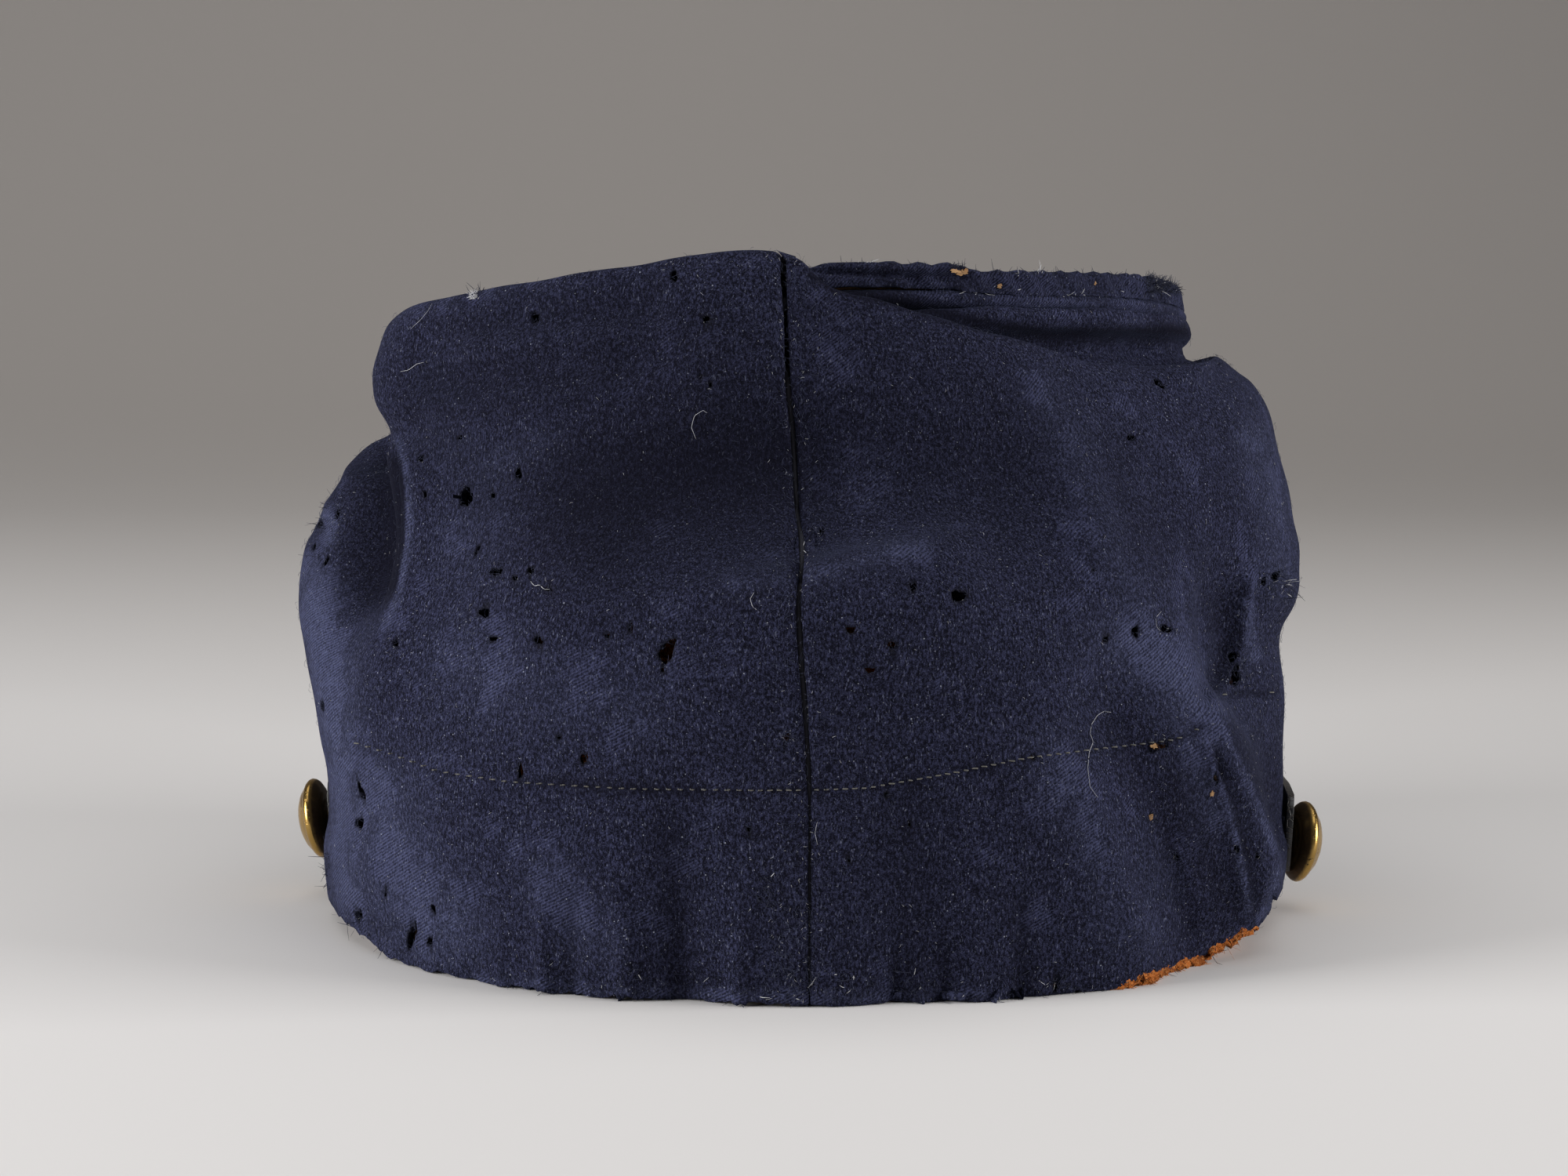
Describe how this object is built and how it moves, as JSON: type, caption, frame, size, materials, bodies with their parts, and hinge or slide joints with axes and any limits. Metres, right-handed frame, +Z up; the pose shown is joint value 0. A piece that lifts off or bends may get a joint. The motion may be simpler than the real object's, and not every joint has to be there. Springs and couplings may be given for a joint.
{
  "type": "forage cap",
  "caption": "Slumped soldier's forage cap of dark blue wool with a leaning disc crown, flat leather peak, chin strap, rust leather sweatband and small domed brass side buttons.",
  "frame": {"origin": "Middle of the cap's footprint on the surface that it rests on.", "axes": "+Z up. +Y towards the peak, so that the back seam faces -Y. +X towards the wearer's right side."},
  "size_m": [0.1972, 0.2292, 0.1299],
  "materials": {
    "navy_cloth": "fulled wool broadcloth, dark blue, worn and dusty on its ridges",
    "pasteboard": "layered paper and glued canvas stiffener, matt tan",
    "rust_leather": "russet sheepskin gone rough, matt rust orange",
    "black_leather": "black glazed leather, crazed and scuffed to grey on its edges",
    "aged_brass": "stamped sheet brass, brown with age and gold where rubbed"
  },
  "bodies": {
    "root": {"left_panel": "navy_cloth", "right_panel": "navy_cloth", "crown_disc": "navy_cloth", "disc_welt": "navy_cloth", "disc_board": "pasteboard", "sweatband": "rust_leather", "peak": "black_leather", "chin_strap": "black_leather", "strap_slide": "aged_brass", "button_left": "aged_brass", "button_right": "aged_brass"}
  },
  "joints": []
}
